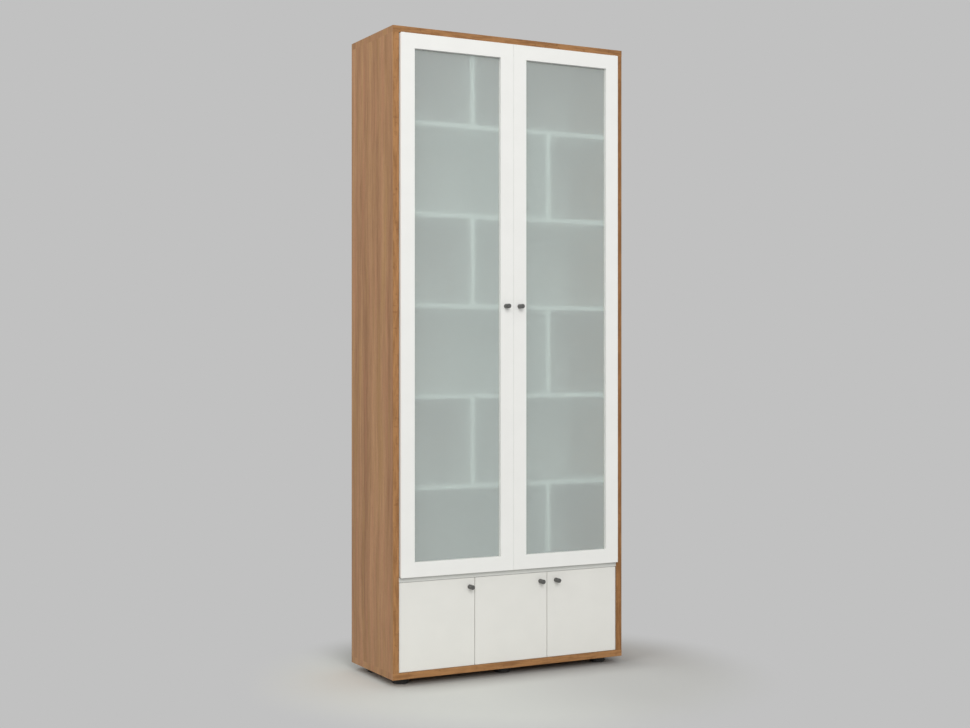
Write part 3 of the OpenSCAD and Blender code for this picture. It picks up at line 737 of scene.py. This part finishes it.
VIEW_WIDTH = 970
SENSOR_WIDTH = 36
FLOOR_RADIUS = 40
FLOOR_SIDES = 96
# A painted shadow on the floor in front of the bookcase: how far it reaches, and how dark it is.
PAINTED_SHADOW_REACH = 0.16
PAINTED_SHADOW_TONE = 0.72

# Where a change on the floor starts and ends: the fade into the backdrop from the pool's centre, and the
# painted light and the painted shadow along X.
POOL_CENTRE = (0, -0.15, 0)
POOL_FADE = (0.58, 0.96)
PAINTED_LIGHT_SPAN = (-0.35, 0.3)
PAINTED_SHADOW_LEFT = (-0.55, -0.3)
PAINTED_SHADOW_RIGHT = (0.4, 0.6)


def set_camera(scene, settings):
    """A level camera, shifted a little to bring the horizon and its axis to their places."""
    camera = bpy.data.objects.new("Camera", bpy.data.cameras.new("Camera"))
    scene.collection.objects.link(camera)
    camera.location = settings.camera_place
    camera.rotation_euler = (math.radians(90), 0, settings.camera_turn)
    camera.data.sensor_width = SENSOR_WIDTH
    camera.data.lens = settings.camera_lens
    camera.data.shift_x = -settings.axis_aside / VIEW_WIDTH
    camera.data.shift_y = -settings.horizon_rise / VIEW_WIDTH
    scene.camera = camera


def hang_lamps(scene, settings):
    """Two large soft lamps, both high: one in front and one at the left."""
    lamps = {
        "Front lamp": (settings.front_place, settings.front_power),
        "Left lamp": (settings.left_place, settings.left_power),
    }
    for name, (place, strength) in lamps.items():
        lamp = bpy.data.lights.new(name, "AREA")
        lamp.shape = "SQUARE"
        lamp.size = settings.lamp_size
        lamp.energy = strength
        hung = bpy.data.objects.new(name, lamp)
        scene.collection.objects.link(hung)
        hung.location = place
        way = Vector(settings.lamp_aim) - hung.location
        hung.rotation_euler = way.to_track_quat("-Z", "Y").to_euler()


def floor_finish(settings):
    """Matt floor, made paler at the left by painted light and darker right in front of the bookcase
    by a painted shadow that lengthens its contact shadow. It fades into the backdrop away from the pool of
    light."""
    finish, place = start("Floor")
    across = finish.part(place, "X")
    # Painted light: the floor's colour grows paler towards the left.
    tone = finish.mix(finish.ramp(across, *PAINTED_LIGHT_SPAN), settings.floor_painted_lit_left, settings.floor_tone)
    dirt = finish.mix(finish.noise(place, scale=3, detail=2), grey(0.985), grey(1))
    shade = finish.mix(1.0, tone, dirt, "MULTIPLY")
    # Painted shadow: the floor is darkened in a strip right in front of the bookcase, lengthening its
    # contact shadow.
    ahead = finish.ramp(finish.part(place, "Y"), BOARD_FRONT_Y - PAINTED_SHADOW_REACH, BOARD_FRONT_Y)
    painted_shadow_mask = ahead * finish.ramp(across, *PAINTED_SHADOW_LEFT) * finish.ramp(across, *PAINTED_SHADOW_RIGHT, 1, 0)
    darker = finish.mix(1.0, shade, grey(PAINTED_SHADOW_TONE), "MULTIPLY")
    shade = finish.mix(painted_shadow_mask, shade, darker)
    ground = finish.principled(Base_Color=shade, Roughness=0.9, Specular_IOR_Level=0.1)
    glow = finish.node("ShaderNodeEmission", sockets={0: settings.backdrop, 1: 1.0})
    far = finish.ramp(finish.distance(place, POOL_CENTRE), *POOL_FADE)
    return finish.done(finish.either(far, ground, glow))


def lay_floor(scene, settings):
    """A wide round floor under the bookcase."""
    shape = bmesh.new()
    bmesh.ops.create_circle(shape, cap_ends=True, segments=FLOOR_SIDES, radius=FLOOR_RADIUS)
    mesh = bpy.data.meshes.new("Floor")
    shape.to_mesh(mesh)
    shape.free()
    mesh.materials.append(floor_finish(settings))
    floor = bpy.data.objects.new("Floor", mesh)
    scene.collection.objects.link(floor)


def paint_world(scene, settings):
    """Even light from all round, and the backdrop's colour for rays from the camera, from
    mirrors and through glass."""
    finish = Finish(bpy.data.worlds.new("Studio"))
    kinds = ("Is Camera Ray", "Is Glossy Ray", "Is Transmission Ray")
    seen = [finish.node("ShaderNodeLightPath", output=kind) for kind in kinds]
    directly = finish.ramp(seen[0] + seen[1] + seen[2], 0, 1, smooth=False)
    light = finish.node("ShaderNodeBackground", sockets={0: grey(1), 1: settings.ambient})
    shown = finish.node("ShaderNodeBackground", sockets={0: settings.backdrop, 1: 1.0})
    scene.world = finish.done(finish.either(directly, light, shown), "ShaderNodeOutputWorld")


# ---- Operators ----


class BOOKCASE_OT_wood_decor(bpy.types.Operator):
    """Gives the four outer boards their wood decor"""

    bl_idname = "bookcase.wood_decor"
    bl_label = "Outer boards"

    def execute(self, context):
        settings = context.scene.bookcase_wood
        left = wood_decor("Left decor", settings, level=False)
        # Painted shade: the right and top boards' edges are darkened, and the bottom's by a trace; the
        # right one most, standing in for light that falls off towards the right.
        right = wood_decor(
            "Right decor", settings, level=False, painted_edge_shade=0.52, offset=(0.0, 3.0, 2.6)
        )
        top = wood_decor("Top decor", settings, level=True, painted_edge_shade=0.16, offset=(0.9, 0.0, 0.0))
        bottom = wood_decor(
            "Bottom decor", settings, level=True, painted_edge_shade=0.02, offset=(0.0, 0.0, 5.0)
        )
        dress(["left_side_panel"], left)
        dress(["right_side_panel"], right)
        dress(["top_board"], top)
        dress(["bottom_board"], bottom)
        return {"FINISHED"}


class BOOKCASE_OT_white_boards(bpy.types.Operator):
    """Gives the shelves, the dividers, the partition and the back panel their white faces"""

    bl_idname = "bookcase.white_boards"
    bl_label = "Inner boards"

    def execute(self, context):
        settings = context.scene.bookcase_whites
        shelves = [f"shelf_{n}" for n in range(1, ROWS)]
        dress(shelves, melamine("White shelf", settings, SHELF_FRONT_Y))
        dividers = [f"divider_{n}" for n in range(1, ROWS + 1)]
        # Painted light: the dividers' edge bands are made lighter.
        dress(dividers, melamine("White divider", settings, SHELF_FRONT_Y, painted_band_shading=1.09))
        # Painted shade: the middle board's edge band is made darker, as in the shade under the proud upper
        # doors.
        middle = melamine("White middle board", settings, MIDDLE_FRONT_Y, painted_band_shading=0.9)
        dress(["middle_board"], middle)
        dress(["lower_partition"], melamine("White partition", settings, PARTITION_FRONT_Y))
        dress(["back_panel"], back_board("White back", settings))
        return {"FINISHED"}


class BOOKCASE_OT_door_lacquer(bpy.types.Operator):
    """Lacquers the frames of the upper doors and the panels of the lower ones"""

    bl_idname = "bookcase.door_lacquer"
    bl_label = "Door lacquer"

    def execute(self, context):
        settings = context.scene.bookcase_whites
        members = ("hinge_stile", "meeting_stile", "top_rail", "bottom_rail")
        frames = [f"{door}_{member}" for door in UPPER_DOORS for member in members]
        dress(frames, lacquer("Frame lacquer", settings.frame_white, settings))
        panels = [f"{door}_door" for door in LOWER_DOORS]
        dress(panels, lacquer("Door lacquer", settings.door_white, settings))
        return {"FINISHED"}


class BOOKCASE_OT_glazing(bpy.types.Operator):
    """Gives the panes their frosted glass and the beads behind them white plastic"""

    bl_idname = "bookcase.glazing"
    bl_label = "Glazing"

    def execute(self, context):
        panes = [f"{door}_glass" for door in UPPER_DOORS]
        dress(panes, frosted_glass("Frosted glass", context.scene.bookcase_glass))
        white = context.scene.bookcase_small_parts.plastic_white
        plastic = moulded_plastic("White plastic", white, roughness=0.4, grain_width=0.0006)
        beads = [f"{door}_glazing_beads" for door in UPPER_DOORS]
        dress(beads + ["magnetic_catches", "hinge_washers"], plastic)
        return {"FINISHED"}


class BOOKCASE_OT_knobs(bpy.types.Operator):
    """Turns a knob for each of the five doors"""

    bl_idname = "bookcase.knobs"
    bl_label = "Knobs"

    def execute(self, context):
        settings = context.scene.bookcase_small_parts
        metal = turned_metal("Knob metal", settings.knob_grey)
        for door in DOORS:
            turn_knob(door, metal, settings)
        return {"FINISHED"}


class BOOKCASE_OT_fittings(bpy.types.Operator):
    """Finishes the hinges, screws, cams, dowels and feet"""

    bl_idname = "bookcase.fittings"
    bl_label = "Fittings and feet"

    def execute(self, context):
        settings = context.scene.bookcase_small_parts
        plated = ["carcass_hinge_leaves", "hinge_pins", "carcass_screws", "foot_screws"]
        plated += ["cam_discs", "cam_bolts"]
        plated += [f"{door}_{part}" for door in DOORS for part in ("hinge_leaves", "screws")]
        dress(plated, zinc_plate("Zinc plate", settings.zinc))
        dress(["dowels"], beech_wood("Beech", settings.beech))
        black = settings.foot_black
        plastic = moulded_plastic("Black plastic", black, roughness=0.5, grain_width=0.0009)
        dress(["feet"], plastic)
        return {"FINISHED"}


class BOOKCASE_OT_studio(bpy.types.Operator):
    """Sets up the camera, the lamps, the floor and the backdrop"""

    bl_idname = "bookcase.studio"
    bl_label = "Studio"

    def execute(self, context):
        settings = context.scene.bookcase_studio
        set_camera(context.scene, settings)
        hang_lamps(context.scene, settings)
        lay_floor(context.scene, settings)
        paint_world(context.scene, settings)
        context.scene.view_settings.view_transform = "Standard"
        return {"FINISHED"}


# ---- Panel and registration ----


class BOOKCASE_PT_panel(bpy.types.Panel):
    """Lists the bookcase's operators and its settings"""

    bl_idname = "BOOKCASE_PT_panel"
    bl_label = "Bookcase"
    bl_space_type = "VIEW_3D"
    bl_region_type = "UI"
    bl_category = "Bookcase"

    def draw(self, context):
        for operator in OPERATORS:
            self.layout.operator(operator.bl_idname)
        for name in SETTINGS:
            settings = getattr(context.scene, name)
            box = self.layout.box()
            for field in settings.__annotations__:
                box.prop(settings, field)


OPERATORS = (
    BOOKCASE_OT_wood_decor,
    BOOKCASE_OT_white_boards,
    BOOKCASE_OT_door_lacquer,
    BOOKCASE_OT_glazing,
    BOOKCASE_OT_knobs,
    BOOKCASE_OT_fittings,
    BOOKCASE_OT_studio,
)
CLASSES = (*SETTINGS.values(), *OPERATORS, BOOKCASE_PT_panel)


def register():
    """Registers the classes and hangs the settings on the scene."""
    for kind in CLASSES:
        bpy.utils.register_class(kind)
    for name, kind in SETTINGS.items():
        setattr(bpy.types.Scene, name, PointerProperty(type=kind))


def unregister():
    """Takes the settings off the scene and unregisters the classes."""
    for name in SETTINGS:
        delattr(bpy.types.Scene, name)
    for kind in reversed(CLASSES):
        bpy.utils.unregister_class(kind)


def main():
    """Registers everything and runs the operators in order."""
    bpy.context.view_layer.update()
    register()
    for operator in OPERATORS:
        group, name = operator.bl_idname.split(".")
        getattr(getattr(bpy.ops, group), name)()


if __name__ == "__main__":
    main()
